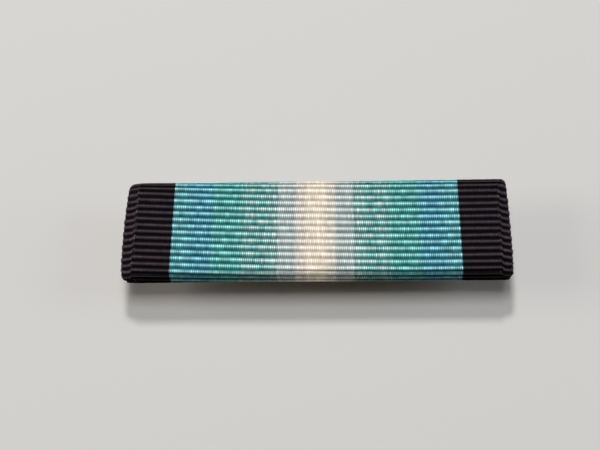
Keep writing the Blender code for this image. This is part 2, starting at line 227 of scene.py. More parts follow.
# Ranges that noise and random values are mapped through: from low, from high, to low, to high
CREASE_WEAR = (0.60, 0.66, 0.0, 0.85)
LINT_AMOUNT = (0.755, 0.80, 0.0, 0.7)
THREAD_SHADE = (0.0, 1.0, 0.94, 1.05)
LIGHT_TWINKLE = (0.0, 1.0, 0.75, 1.25)
FIBRE_SHADE = (0.3, 0.7, 0.86, 1.14)
PATCH_SHADE = (0.3, 0.7, 0.90, 1.12)
FIBRE_ROUGHNESS = (0.3, 0.7, 0.32, 0.46)
DULL_AMOUNT = (0.35, 0.65, 0.0, 1.0)
TARNISH_AMOUNT = (0.61, 0.76, 0.0, 0.55)
SCRATCH_AMOUNT = (0.64, 0.70, 0.0, 1.0)

# Metal surfaces: noise scales in cycles a metre, and bump heights in millimetres
DULL_SCALE = 240.0
TARNISH_SCALE = 1100.0
SCRATCH_GRAIN = (700.0, 4200.0, 4200.0)
TARNISH_ROUGHNESS = 0.25
STREAK_BUMP = 0.003
SCRATCH_BUMP = 0.004

# Camera, aimed near the middle of the ribbon's face: rounded results of the same fit, apart from
# the aim's first value, which was set afterwards
CAMERA_ELEVATION = math.radians(59.9)
CAMERA_YAW = math.radians(2.70)
CAMERA_ROLL = math.radians(-4.30)
CAMERA_DISTANCE = 99.5
CAMERA_LENS = 68.06
CAMERA_AIM = (-1.36, 0.015)


def smoothstep(value):
    """A smooth rise from 0 to 1 as value goes from 0 to 1."""
    value = np.clip(value, 0.0, 1.0)
    return value * value * (3.0 - 2.0 * value)


def box_mm(node):
    """The lowest and highest corner of a CAD node, in millimetres."""
    low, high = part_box(node)
    return np.array(low) / MM, np.array(high) / MM


def arc_points(centre_y, centre_z, radius, start, end, steps=24):
    """Points on an arc, with angles in degrees from +Y towards +Z."""
    angles = np.radians(np.linspace(start, end, steps + 1))
    return np.stack([centre_y + radius * np.cos(angles), centre_z + radius * np.sin(angles)], 1)


class FoldPath:
    """The section of the ribbon's outer face, by distance along it from the middle of the face."""

    def __init__(self):
        low, high = box_mm("ribbon")
        self.half_width = high[1]
        self.top = high[2]
        self.bottom = low[2]
        roll_y = self.half_width - ROLL_RADIUS
        turn_y = self.half_width - TURN_RADIUS
        turn_z = self.bottom + TURN_RADIUS
        tuck_y = self.half_width - 2 * TURN_RADIUS - TUCK_CORNER_RADIUS
        tail_z = self.top - TAIL_DEPTH
        tuck_z = tail_z - TUCK_CORNER_RADIUS
        roll = arc_points(roll_y, self.top - ROLL_RADIUS, ROLL_RADIUS, 90, 0)
        turn = arc_points(turn_y, turn_z, TURN_RADIUS, 0, -180)
        tuck = arc_points(tuck_y, tuck_z, TUCK_CORNER_RADIUS, 0, 90)
        ends = [np.array([[0.0, self.top]]), roll, turn, tuck, np.array([[TAIL_END_Y, tail_z]])]
        points = np.concatenate(ends)
        steps = np.linalg.norm(np.diff(points, axis=0), axis=1)
        self.points = points
        self.along = np.concatenate([[0.0], np.cumsum(steps)])
        self.length = self.along[-1]
        self.wall_start = self.along[len(roll)]
        self.turn_start = self.along[len(roll) + 1]
        self.turn_end = self.along[len(roll) + len(turn)]
        self.turn_z = turn_z

    def at(self, distance):
        """(y, z, share of the cut width kept) at signed distances along the section."""
        side = np.where(distance < 0.0, -1.0, 1.0)
        reach = np.abs(distance)
        y = np.interp(reach, self.along, self.points[:, 0]) * side
        z = np.interp(reach, self.along, self.points[:, 1])
        tail_share = TAIL_HALF_WIDTH / (CUT_WIDTH / 2)
        kept = np.interp(reach, [self.turn_start, self.turn_end], [1.0, tail_share])
        return y, z, kept


def crease_place(across, y):
    """Distance across the ribbon at which its end starts to bend down, on each side."""
    right = RIGHT_CREASE_X + RIGHT_CREASE_SLANT * y
    return np.where(across < 0.0, LEFT_CREASE_X, right) - CREASE_LENGTH / 2


def end_profile(across, y):
    """(x, drop) of the face at distances across the ribbon, with its ends bent down."""
    grid = np.linspace(0.0, END_PROFILE_LENGTH, END_PROFILE_STEPS)
    steep = smoothstep(grid / CREASE_LENGTH)
    gentle = smoothstep((grid - STEEP_LENGTH) / CREASE_LENGTH)
    slope = STEEP_SLOPE * steep - (STEEP_SLOPE - GENTLE_SLOPE) * gentle
    step = grid[1] - grid[0]
    run = np.concatenate([[0.0], np.cumsum(np.cos(slope[:-1]) * step)])
    fall = np.concatenate([[0.0], np.cumsum(np.sin(slope[:-1]) * step)])
    reach = np.abs(across)
    start = crease_place(across, y)
    beyond = np.clip(reach - start, 0.0, None)
    curl = np.clip((reach - (CUT_WIDTH / 2 - CURL_LENGTH)) / CURL_LENGTH, 0.0, None) ** 2
    bow = np.where(across < 0.0, LEFT_END_BOW, RIGHT_END_BOW) * (y / END_BOW_HALF_WIDTH) ** 2
    bow = bow * smoothstep(beyond / STEEP_LENGTH)
    x = np.minimum(reach, start) + np.interp(beyond, grid, run) - CURL_DROP / 3 * curl - bow
    drop = np.interp(beyond, grid, fall) + CURL_DROP * curl
    return x * np.where(across < 0.0, -1.0, 1.0), drop


def fold(path, distance, across):
    """Points of the folded face at distances along and across the flat ribbon."""
    y, z, kept = path.at(distance)
    reach = np.abs(distance)
    taper_start = path.wall_start - ROLL_RADIUS
    down_wall = smoothstep((reach - taper_start) / (path.turn_start - taper_start))
    tucked = smoothstep((reach - path.turn_start) / (path.turn_end - path.turn_start))
    half = CUT_WIDTH / 2
    outermost = smoothstep((np.abs(across) - SIDE_TAPER_FROM) / (half - SIDE_TAPER_FROM))
    taper = np.where(across < 0.0, LEFT_SIDE_TAPER, RIGHT_SIDE_TAPER)
    taper = taper * down_wall * (1.0 - tucked) * outermost
    x, drop = end_profile(across * kept - np.sign(across) * taper, y)
    weight = smoothstep((z - path.turn_z) / (path.top - path.turn_z))
    weight = np.where(reach > path.turn_end, 0.0, weight)
    end_x = np.where(across < 0.0, *(end_profile(side * half, y)[0] for side in (-1.0, 1.0)))
    radius = np.where(y < 0.0, FRONT_CORNER_RADIUS, BACK_CORNER_RADIUS)
    beyond = np.clip(np.abs(x) - (np.abs(end_x) - radius), 0.0, CORNER_SHARE * radius)
    depth = radius - np.sqrt(radius ** 2 - beyond ** 2)
    turned = smoothstep((np.abs(y) - CORNER_FROM_Y) / (CORNER_FULL_Y - CORNER_FROM_Y))
    bent = smoothstep((np.abs(across) - crease_place(across, y)) / FLARE_LENGTH)
    flare = np.where(across < 0.0, LEFT_BACK_FLARE, RIGHT_BACK_FLARE)
    flare = np.where(y > 0.0, flare, 0.0) * bent
    shift = (flare - depth) * turned * (1.0 - tucked)
    return np.stack([x, y + np.sign(y) * shift, z - weight * drop], -1)


def wavering(rng, count, knots):
    """Smooth noise from -1 to 1 at count points."""
    values = rng.uniform(-1.0, 1.0, knots)
    return np.interp(np.linspace(0.0, knots - 1.0, count), np.arange(knots), values)


def rib_rows(path):
    """Row positions in ribs along the ribbon: dense where it shows, coarser in the tails."""
    margin = RIB_BOW + abs(RIB_SKEW) * CUT_WIDTH / 2 + RIB_PITCH / 2
    first = math.ceil((margin - path.length - RIB_START_Y) / RIB_PITCH)
    last = math.floor((path.length - RIB_START_Y - margin) / RIB_PITCH)
    shown_low = math.floor((-path.turn_end - RIB_START_Y) / RIB_PITCH)
    shown_high = math.ceil((path.turn_end - RIB_START_Y) / RIB_PITCH)
    low_tail = np.arange(first, shown_low, 1.0 / TAIL_ROWS_PER_RIB)
    shown = np.arange(shown_low, shown_high, 1.0 / ROWS_PER_RIB)
    high_tail = np.arange(shown_high, last + 0.5 / TAIL_ROWS_PER_RIB, 1.0 / TAIL_ROWS_PER_RIB)
    cut_low = (-path.length - RIB_START_Y) / RIB_PITCH
    cut_high = (path.length - RIB_START_Y) / RIB_PITCH
    return np.concatenate([[cut_low], low_tail, shown, high_tail, [cut_high]])


def grid_normals(points):
    """Unit normals of a grid of points, rows along the ribbon and columns across it."""
    along = np.gradient(points, axis=0)
    across = np.gradient(points, axis=1)
    normals = np.cross(across, along)
    return normals / np.linalg.norm(normals, axis=-1, keepdims=True)


def grid_faces(rows, columns, start, flip):
    """Quads of a grid whose first point has index start."""
    corner = start + np.arange(rows - 1)[:, None] * columns + np.arange(columns - 1)[None, :]
    corner = corner.reshape(-1)
    quads = np.stack([corner, corner + 1, corner + 1 + columns, corner + columns], 1)
    return quads[:, ::-1] if flip else quads


def picked(count, step, fine_ends, fine_step):
    """Indices from 0 to count - 1, every step in the middle and every fine_step near the ends."""
    keep = set(range(0, count, step)) | {count - 1}
    keep |= set(range(0, fine_ends, fine_step))
    keep |= {count - 1 - index for index in range(0, fine_ends, fine_step)}
    return sorted(keep)


def no_further(x, limit):
    """x, brought back to limit where it lies further from the middle on the same side."""
    return np.where(limit < 0.0, np.maximum(x, limit), np.minimum(x, limit))


def make_ribbon():
    """The woven ribbon as one closed mesh, with its ribs, selvedges and cut tails."""
    rng = np.random.default_rng(SEED)
    path = FoldPath()
    ribs = rib_rows(path)
    half = CUT_WIDTH / 2
    columns = 4 * THREADS_PER_SIDE + 1
    across_line = np.linspace(-half, half, columns)
    rib, across = np.meshgrid(ribs, across_line, indexing="ij")

    crest = np.cos(2.0 * math.pi * rib)
    loop_from = half - SELVEDGE_LOOP_LENGTH
    loop_share = np.clip((np.abs(across) - loop_from) / SELVEDGE_LOOP_LENGTH, 0.0, 1.0)
    across = across + np.sign(across) * SELVEDGE_LOOP * crest * loop_share
    bow = RIB_BOW * (1.0 - (across / RIB_BOW_HALF_WIDTH) ** 2)
    rib_number = np.round(rib).astype(int) - int(np.floor(ribs[0]))
    rib_count = int(rib_number.max()) + 1
    wander = np.stack([wavering(rng, columns, RIB_WANDER_KNOTS) for _ in range(rib_count)])
    shift = RIB_WANDER * wander[rib_number, np.arange(columns)[None, :]]
    distance = RIB_START_Y + RIB_PITCH * rib - bow + RIB_SKEW * across + shift
    crowded = (distance - BACK_CROWDING_FROM) / (BACK_CROWDING_TO - BACK_CROWDING_FROM)
    crowded = np.clip(crowded, 0.0, 1.0)
    distance = distance - BACK_CROWDING * crowded ** 2
    distance[0] = -path.length
    distance[-1] = path.length
    base = fold(path, distance, across)
    kept = path.at(distance)[2]
    normals = grid_normals(base)

    offset = rib - np.round(rib)
    profile = np.sqrt(np.clip(1.0 - (RIB_NARROWNESS * offset) ** 2, 0.0, 1.0))
    varied = rng.uniform(-1.0, 1.0, rib_count)[rib_number]
    height = RIB_HEIGHT * (1.0 + RIB_HEIGHT_VARIATION * varied)
    hidden = smoothstep((np.abs(distance) - path.turn_end) / TAIL_FADE_LENGTH)
    height = height * (1.0 - (1.0 - TAIL_HEIGHT_SHARE) * hidden)
    edge = smoothstep((np.abs(across) - SELVEDGE_FROM) / (half - SELVEDGE_FROM))
    height = height * (1.0 - SELVEDGE_FLATTEN * edge) * (1.0 - BACK_FLATTEN * crowded)
    parity = np.abs(np.round(rib)) % 2.0
    bead = np.cos(2.0 * math.pi * (across_line[None, :] / THREAD_PITCH + 0.5 * parity))
    groove = BEAD_DEPTH * (0.5 + 0.5 * bead) * (1.0 - hidden)
    thread = rng.uniform(-1.0, 1.0, (rib_count, columns))[rib_number, np.arange(columns)]
    thread = THREAD_HEIGHT_VARIATION * thread
    relief = height * (profile - 1.0) + (thread - groove) * profile
    outer = base + normals * relief[..., None]

    inner_rows = picked(len(ribs), INNER_ROW_STEP, 0, 1)
    inner_columns = picked(columns, INNER_COLUMN_STEP, END_COLUMNS, END_COLUMN_STEP)
    inner = base - normals * RIBBON_THICKNESS
    inner[..., 0] = no_further(inner[..., 0], base[..., 0])
    inner = inner[np.ix_(inner_rows, inner_columns)]

    rims = []
    for column, side in ((0, -1.0), (columns - 1, 1.0)):
        rim = base[:, column] - normals[:, column] * RIBBON_THICKNESS / 2
        rim[:, 0] = no_further(rim[:, 0], base[:, column, 0]) + side * SELVEDGE_BULGE
        rims.append(rim)
    vertices = np.concatenate([outer.reshape(-1, 3), inner.reshape(-1, 3), *rims]) * MM

    rows = len(ribs)
    inner_start = rows * columns
    inner_width = len(inner_columns)
    rim_start = inner_start + len(inner_rows) * inner_width
    faces = grid_faces(rows, columns, 0, False).tolist()
    faces += grid_faces(len(inner_rows), inner_width, inner_start, True).tolist()
    faces += selvedge_faces(rows, columns, inner_rows, inner_width, inner_start, rim_start)
    faces += cut_end_faces(rows, columns, inner_rows, inner_columns, inner_start, rim_start)

    mesh = bpy.data.meshes.new("woven_ribbon")
    mesh.from_pydata(vertices.tolist(), [], faces)
    mesh.validate()
    side_rib = np.concatenate([ribs, ribs])
    side_across = np.concatenate([np.full(rows, -half), np.full(rows, half)])
    side_reach = np.abs(distance)
    # The folded sides, from just before the wall on, where the material paints shade, and light on
    # the cream
    painted_wall_shade = smoothstep((side_reach - path.wall_start + SHELTER_BEFORE_WALL) / SHELTER_LENGTH)
    past_crease = np.abs(across) - crease_place(across, base[..., 1])
    creased = (past_crease - CREASE_SHADE_PLACE) / CREASE_SHADE_WIDTH
    creased = np.exp(-creased ** 2) * (1.0 - hidden)
    bent_end = smoothstep(past_crease / STEEP_LENGTH)
    picked_grid = np.ix_(inner_rows, inner_columns)
    fields = {
        "along_ribs": (rib, side_rib),
        "across_mm": (across * kept, side_across),
        "painted_wall_shade": (painted_wall_shade, np.concatenate([painted_wall_shade[:, 0], painted_wall_shade[:, -1]])),
        "creased": (creased, np.zeros(2 * rows)),
        "bent_end": (bent_end, np.ones(2 * rows)),
    }
    for name, (field, sides) in fields.items():
        values = np.concatenate([field.reshape(-1), field[picked_grid].reshape(-1), sides])
        attribute = mesh.attributes.new(name, "FLOAT", "POINT")
        attribute.data.foreach_set("value", values.astype(np.float32))
    mesh.shade_smooth()
    item = bpy.data.objects.new("woven_ribbon", mesh)
    bpy.context.scene.collection.objects.link(item)
    return item, path


def selvedge_faces(rows, columns, inner_rows, inner_width, inner_start, rim_start):
    """Faces round both selvedges: outer edge to rim point by point, then rim to inner edge."""
    faces = []
    for side, column in ((0, 0), (1, columns - 1)):
        rim = rim_start + side * rows
        for row in range(rows - 1):
            quad = [row * columns + column, rim + row, rim + row + 1, (row + 1) * columns + column]
            faces.append(quad[::-1] if side == 0 else quad)
        inner_column = 0 if side == 0 else inner_width - 1
        for index in range(len(inner_rows) - 1):
            low, high = inner_rows[index], inner_rows[index + 1]
            strip = [rim + row for row in range(low, high + 1)]
            strip.append(inner_start + (index + 1) * inner_width + inner_column)
            strip.append(inner_start + index * inner_width + inner_column)
            faces.append(strip if side == 0 else strip[::-1])
    return faces


def cut_end_faces(rows, columns, inner_rows, inner_columns, inner_start, rim_start):
    """Faces across the two cut ends of the ribbon, in the tails."""
    faces = []
    inner_width = len(inner_columns)
    for row, inner_row, flip in ((0, 0, False), (rows - 1, len(inner_rows) - 1, True)):
        for index in range(inner_width - 1):
            low, high = inner_columns[index], inner_columns[index + 1]
            strip = [row * columns + column for column in range(high, low - 1, -1)]
            if low == 0:
                strip.append(rim_start + row)
            strip.append(inner_start + inner_row * inner_width + index)
            strip.append(inner_start + inner_row * inner_width + index + 1)
            if high == columns - 1:
                strip.append(rim_start + rows + row)
            faces.append(strip[::-1] if flip else strip)
    return faces


class Nodes:
    """A small helper that adds nodes to a material and links them."""

    def __init__(self, name):
        self.material = bpy.data.materials.new(name)
        self.material.use_nodes = True
        self.tree = self.material.node_tree
        self.shader = self.tree.nodes["Principled BSDF"]

    def link(self, source, target):
        if isinstance(source, (int, float)):
            target.default_value = source
        else:
            self.tree.links.new(source, target)

    def add(self, kind, **settings):
        node = self.tree.nodes.new(kind)
        for key, value in settings.items():
            setattr(node, key, value)
        return node

    def math(self, operation, first, second=0.0, clamp=False):
        node = self.add("ShaderNodeMath", operation=operation, use_clamp=clamp)
        self.link(first, node.inputs[0])
        self.link(second, node.inputs[1])
        return node.outputs[0]

    def attribute(self, name):
        return self.add("ShaderNodeAttribute", attribute_name=name).outputs["Fac"]

    def object_position(self):
        return self.add("ShaderNodeTexCoord").outputs["Object"]

    def scaled(self, vector, scale):
        node = self.add("ShaderNodeVectorMath", operation="MULTIPLY")
        self.link(vector, node.inputs[0])
        node.inputs[1].default_value = scale
        return node.outputs[0]

    def noise(self, vector, scale, detail=3.0, roughness=0.5):
        node = self.add("ShaderNodeTexNoise")
        self.link(vector, node.inputs["Vector"])
        node.inputs["Scale"].default_value = scale
        node.inputs["Detail"].default_value = detail
        node.inputs["Roughness"].default_value = roughness
        return node.outputs["Fac"]

    def random(self, value):
        node = self.add("ShaderNodeTexWhiteNoise", noise_dimensions="1D")
        self.link(value, node.inputs["W"])
        return node.outputs["Value"]

    def ramp(self, value, stops, interpolation="LINEAR"):
        node = self.add("ShaderNodeValToRGB")
        node.color_ramp.interpolation = interpolation
        elements = node.color_ramp.elements
        while len(elements) > 1:
            elements.remove(elements[-1])
        for index, (place, colour) in enumerate(stops):
            element = elements[0] if index == 0 else elements.new(place)
            element.position = place
            element.color = (*colour, 1.0)
        self.link(value, node.inputs["Fac"])
        return node.outputs["Color"]

    def mix(self, share, first, second, blend="MIX"):
        node = self.add("ShaderNodeMix", data_type="RGBA", blend_type=blend)
        self.link(share, node.inputs["Factor"])
        for value, target in ((first, node.inputs["A"]), (second, node.inputs["B"])):
            if isinstance(value, tuple):
                target.default_value = (*value, 1.0)
            else:
                self.link(value, target)
        return node.outputs["Result"]

    def power(self, colour, exponent):
        node = self.add("ShaderNodeGamma")
        self.link(colour, node.inputs["Color"])
        self.link(exponent, node.inputs["Gamma"])
        return node.outputs["Color"]

    def range(self, value, low, high, new_low, new_high):
        node = self.add("ShaderNodeMapRange")
        self.link(value, node.inputs["Value"])
        for name, number in (
            ("From Min", low), ("From Max", high), ("To Min", new_low), ("To Max", new_high)
        ):
            node.inputs[name].default_value = number
        return node.outputs["Result"]

    def bump(self, height, distance, strength=1.0, normal=None):
        node = self.add("ShaderNodeBump")
        node.inputs["Strength"].default_value = strength
        node.inputs["Distance"].default_value = distance
        self.link(height, node.inputs["Height"])
        if normal is not None:
            self.link(normal, node.inputs["Normal"])
        return node.outputs["Normal"]


def stripe_ramp(nodes, reach, pick):
    """A value of the stripes, by distance from the middle as a share of the last stripe's edge."""
    whole = STRIPES[-1][0]
    stops = [(0.0, pick(STRIPES[0]))]
    for stripe, following in zip(STRIPES, STRIPES[1:]):
        edge, blend = stripe[:2]
        stops.append(((edge - blend / 2) / whole, pick(stripe)))
        stops.append(((edge + blend / 2) / whole, pick(following)))
    return nodes.ramp(reach, stops)


def light_ramp(nodes, reach, column):
    """How light the threads are at a distance from the middle, on even or odd ribs."""
    whole = STRIPES[-1][0]
    return nodes.ramp(reach, [(group[0] / whole, (group[column],) * 3) for group in LIGHT_GROUPS])


def thread_colour(nodes, reach, middle_reach, parity, crossing, depth):
    """(colour, valley colour) of the warp threads: their stripe's, lightened in the light groups.

    It runs from the crest's colour to the valley's by equal ratios, as depth goes from 0 to 1.
    This is a painted highlight on top of each rib and painted shade in the valleys between them.
    """
    even = light_ramp(nodes, middle_reach, 1)
    odd = light_ramp(nodes, middle_reach, 2)
    twinkle = nodes.range(nodes.random(nodes.math("ADD", crossing, LIGHT_OFFSET)), *LIGHT_TWINKLE)
    light = nodes.math("MULTIPLY", nodes.mix(parity, even, odd), twinkle, clamp=True)
    crest = nodes.mix(light, stripe_ramp(nodes, reach, lambda stripe: stripe[2]), LIGHT_THREAD)
    valley = stripe_ramp(nodes, reach, lambda stripe: stripe[3])
    lifted = nodes.mix(light, valley, LIGHT_THREAD_VALLEY_SHADE)
    upper = nodes.power(crest, nodes.math("SUBTRACT", 1.0, depth, clamp=True))
    lower = nodes.power(lifted, depth)
    return nodes.mix(1.0, upper, lower, "MULTIPLY"), valley


def ribbon_material():
    """Warp threads in their stripes' colours, each a bead where it passes over a rib.

    Every second thread shows on one rib and the others show on the next, as in a plain weave.
    The colour carries a painted highlight on the rib tops, painted shade between ribs, between
    threads, along the crease and on the folded sides, and painted light on the bent-down ends and
    on the cream of the folded sides.
    """
    nodes = Nodes("woven_ribbon_threads")
    across = nodes.attribute("across_mm")
    along = nodes.attribute("along_ribs")
    rib_number = nodes.math("ROUND", along)
    rib_parity = nodes.math("PINGPONG", rib_number, 1.0)
    half_shift = nodes.math("MULTIPLY", rib_parity, 0.5)
    count = nodes.math("ADD", nodes.math("DIVIDE", across, THREAD_PITCH), half_shift)
    thread = nodes.math("FLOOR", count)
    thread_number = nodes.math("ADD", nodes.math("MULTIPLY", thread, 2.0), rib_parity)
    middle_count = nodes.math("SUBTRACT", nodes.math("ADD", thread, 0.5), half_shift)
    middle_across = nodes.math("MULTIPLY", middle_count, THREAD_PITCH)
    # Painted highlight and shade: the colour is lightest on top of each rib and darkest in the
    # valleys
    offset = nodes.math("SUBTRACT", along, rib_number)
    depth = nodes.math("MULTIPLY", nodes.math("ABSOLUTE", offset), 2.0)
    height = nodes.math("SUBTRACT", 1.0, depth, clamp=True)
    depth = nodes.math("SUBTRACT", 1.0, nodes.math("POWER", height, CREST_SHARPNESS))
    spread = nodes.math("SUBTRACT", nodes.math("FRACT", count), 0.5)
    spread_squared = nodes.math("MULTIPLY", spread, spread)
    # Painted shade between neighbouring threads
    groove = nodes.math("MULTIPLY", spread_squared, 4.0 * GROOVE_SHADE_DEPTH)
    crossing = nodes.math("ADD", nodes.math("MULTIPLY", thread, THREAD_STRIDE), rib_number)
    reach = nodes.math("DIVIDE", nodes.math("ABSOLUTE", across), STRIPES[-1][0])
    middle_reach = nodes.math("DIVIDE", nodes.math("ABSOLUTE", middle_across), STRIPES[-1][0])
    # Painted shade along the crease
    painted_crease_shade = nodes.math("MULTIPLY", nodes.attribute("creased"), CREASE_SHADE)
    painted_shade_depth = nodes.math("ADD", nodes.math("ADD", depth, groove), painted_crease_shade)
    colour, valley = thread_colour(nodes, reach, middle_reach, rib_parity, crossing, painted_shade_depth)

    fibre_place = nodes.add("ShaderNodeCombineXYZ")
    nodes.link(across, fibre_place.inputs["X"])
    nodes.link(nodes.math("MULTIPLY", along, RIB_PITCH), fibre_place.inputs["Y"])
    place = fibre_place.outputs["Vector"]
    fibre = nodes.noise(nodes.scaled(place, FIBRE_GRAIN), 1.0, 2.0)
    crease_noise = nodes.noise(nodes.scaled(place, CREASE_GRAIN), 1.0, 2.0)
    worn = nodes.range(crease_noise, *CREASE_WEAR)
    worn = nodes.math("MULTIPLY", worn, nodes.attribute("creased"))
    colour = nodes.mix(worn, colour, CORE_THREAD)
    lint_noise = nodes.noise(nodes.scaled(place, LINT_GRAIN), 1.0, 4.0, 0.75)
    colour = nodes.mix(nodes.range(lint_noise, *LINT_AMOUNT), colour, LINT)

    # Painted light: the bent-down ends are made lighter
    painted_end_light = nodes.mix(1.0, colour, END_PAINTED_LIGHT, "MULTIPLY")
    colour = nodes.mix(nodes.attribute("bent_end"), colour, painted_end_light)

    painted_wall_shade = nodes.attribute("painted_wall_shade")
    patch = nodes.noise(nodes.scaled(place, PATCH_GRAIN), 1.0, 3.0)
    shade = nodes.range(nodes.random(thread_number), *THREAD_SHADE)
    swell = nodes.math("SUBTRACT", nodes.math("MULTIPLY", reach, STRIPES[-1][0]), SWELL_CREST)
    swell = nodes.math("COSINE", nodes.math("MULTIPLY", swell, 2.0 * math.pi / SWELL_PITCH))
    swell = nodes.math("MULTIPLY", swell, nodes.range(rib_parity, 0.0, 1.0, SWELL, -SWELL))
    coloured_from = LIGHT_GROUPS[-2][0] / STRIPES[-1][0]
    coloured = nodes.range(reach, coloured_from, SWELL_FULL_REACH, 0.0, 1.0)
    swell = nodes.math("ADD", nodes.math("MULTIPLY", swell, coloured), 1.0)
    # Painted shade on the folded sides, turning to painted light for the cream stripes
    side_shade = nodes.math("MULTIPLY", painted_wall_shade, nodes.range(valley, 0.0, 0.5, *SIDE_SHADE))
    side_shade = nodes.math("SUBTRACT", 1.0, side_shade)
    uneven = nodes.math("SUBTRACT", nodes.random(crossing), 0.5)
    uneven_reach = (UNEVEN_FROM / STRIPES[-1][0], UNEVEN_TO / STRIPES[-1][0])
    amount = nodes.range(reach, *uneven_reach, *UNEVEN_SHARES)
    uneven = nodes.math("ADD", nodes.math("MULTIPLY", uneven, amount), 1.0)
    # Random tone, fibre and patch noise, painted shade between threads, painted shade and light on
    # the folded sides, and the swell
    for factor in (
        uneven,
        nodes.range(fibre, *FIBRE_SHADE),
        nodes.range(patch, *PATCH_SHADE),
        nodes.range(spread_squared, 0.0, 0.25, 1.0, GROOVE_SHADE),
        side_shade,
        swell,
    ):
        shade = nodes.math("MULTIPLY", shade, factor)
    lit = nodes.add("ShaderNodeVectorMath", operation="SCALE")
    nodes.link(colour, lit.inputs[0])
    nodes.link(shade, lit.inputs["Scale"])
    nodes.link(lit.outputs[0], nodes.shader.inputs["Base Color"])

    bead = nodes.math("SQRT", nodes.math("SUBTRACT", BEAD_ROUNDNESS, spread_squared))
    beads = nodes.bump(bead, BEAD_BUMP * MM, 1.0)
    fine = nodes.bump(fibre, FIBRE_BUMP * MM, 0.6, beads)
    nodes.link(fine, nodes.shader.inputs["Normal"])
    rough = nodes.range(fibre, *FIBRE_ROUGHNESS)
    nodes.link(rough, nodes.shader.inputs["Roughness"])
    gloss = nodes.range(depth, 0.0, GLOSS_DEPTH, CREST_SPECULAR, VALLEY_SPECULAR)
    side_gloss = nodes.range(painted_wall_shade, 0.0, 1.0, 1.0, SIDE_SPECULAR)
    gloss = nodes.math("MULTIPLY", gloss, side_gloss)
    nodes.link(gloss, nodes.shader.inputs["Specular IOR Level"])
    return nodes.material


def metal_material(name, bright, dull, tarnish, rough_low, rough_high, grain):
    """Worn metal: fine grain, dull patches, tarnish in spots, a few scratches and soft edges."""
    nodes = Nodes(name)
    position = nodes.object_position()
    streak = nodes.noise(nodes.scaled(position, grain), 1.0, 4.0, 0.6)
    patch = nodes.noise(position, DULL_SCALE, 4.0, 0.6)
    spots = nodes.noise(position, TARNISH_SCALE, 5.0, 0.65)
    scratch = nodes.noise(nodes.scaled(position, SCRATCH_GRAIN), 1.0, 2.0, 0.4)
    colour = nodes.mix(nodes.range(patch, *DULL_AMOUNT), bright, dull)
    dark = nodes.range(spots, *TARNISH_AMOUNT)
    colour = nodes.mix(dark, colour, tarnish)
    nodes.link(colour, nodes.shader.inputs["Base Color"])
    nodes.shader.inputs["Metallic"].default_value = 1.0
    rough = nodes.range(streak, 0.3, 0.7, rough_low, rough_high)
    rough = nodes.math("ADD", rough, nodes.math("MULTIPLY", dark, TARNISH_ROUGHNESS), clamp=True)
    nodes.link(rough, nodes.shader.inputs["Roughness"])
    edge = nodes.add("ShaderNodeBevel", samples=4)
    edge.inputs["Radius"].default_value = SOFT_EDGE * MM
    brushed = nodes.bump(streak, STREAK_BUMP * MM, 0.5, edge.outputs["Normal"])
    scored = nodes.bump(nodes.range(scratch, *SCRATCH_AMOUNT), SCRATCH_BUMP * MM, 0.6, brushed)
    nodes.link(scored, nodes.shader.inputs["Normal"])
    return nodes.material


# Metals: name, bright and dull colour, tarnish, lowest and highest roughness, and grain along
# each axis, in cycles a metre
METALS = {
    "plate_brass_worn": (
        (0.80, 0.60, 0.28), (0.62, 0.44, 0.19), (0.16, 0.09, 0.04),
        0.26, 0.44, (900.0, 9000.0, 9000.0),
    ),
    "bar_brass_worn": (
        (0.83, 0.66, 0.36), (0.68, 0.52, 0.27), (0.18, 0.11, 0.05),
        0.20, 0.38, (900.0, 9000.0, 9000.0),
    ),
    "fitting_nickel_worn": (
        (0.76, 0.73, 0.68), (0.69, 0.66, 0.61), (0.24, 0.20, 0.16),
        0.24, 0.34, (2500.0, 2500.0, 2500.0),
    ),
    "pin_steel_drawn": (
        (0.72, 0.72, 0.73), (0.64, 0.64, 0.65), (0.24, 0.22, 0.19),
        0.18, 0.28, (500.0, 6000.0, 6000.0),
    ),
    "solder_dull": (
        (0.56, 0.55, 0.53), (0.44, 0.43, 0.41), (0.17, 0.15, 0.12),
        0.34, 0.55, (2500.0, 2500.0, 2500.0),
    ),
}
NODE_METALS = {
    "front_plate": "plate_brass_worn",
    "slide_channel": "plate_brass_worn",
    "mounting_bar": "bar_brass_worn",
    "hinge_bracket": "fitting_nickel_worn",
    "catch_housing": "fitting_nickel_worn",
    "catch_rotor": "fitting_nickel_worn",
    "hinge_rivet": "pin_steel_drawn",
    "brooch_pin": "pin_steel_drawn",
}


def dress_metal():
    """Gives each metal CAD node its material and eased edges, and returns the materials."""
    materials = {name: metal_material(name, *values) for name, values in METALS.items()}
    for node, metal in NODE_METALS.items():
        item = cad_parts[node]
        item.data.materials.clear()
        item.data.materials.append(materials[metal])
        bevel = item.modifiers.new("eased_edges", "BEVEL")
        bevel.width = EASED_EDGE * MM
        bevel.segments = 2
        bevel.limit_method = "ANGLE"
        bevel.angle_limit = EASED_EDGE_ANGLE
    return materials


def foot_outline(low, high, radius, spacing):
    """Points and outward directions round a rectangle with rounded corners."""
    outline = []
    corners = ((1, 1, 0), (-1, 1, 90), (-1, -1, 180), (1, -1, 270))
    for sign_x, sign_y, start in corners:
        centre_x = (high[0] if sign_x > 0 else low[0]) - sign_x * radius
        centre_y = (high[1] if sign_y > 0 else low[1]) - sign_y * radius
        for angle in np.radians(np.linspace(start, start + 90, SOLDER_CORNER_POINTS)):
            direction = np.array([math.cos(angle), math.sin(angle)])
            outline.append((np.array([centre_x, centre_y]) + radius * direction, direction))
    dense = []
    for index, (point, direction) in enumerate(outline):
        next_point, next_direction = outline[(index + 1) % len(outline)]
        steps = max(1, math.ceil(np.linalg.norm(next_point - point) / spacing))
        for step in range(steps):
            share = step / steps
            blended = direction * (1.0 - share) + next_direction * share
            place = point * (1.0 - share) + next_point * share
            dense.append((place, blended / np.linalg.norm(blended)))
    return dense


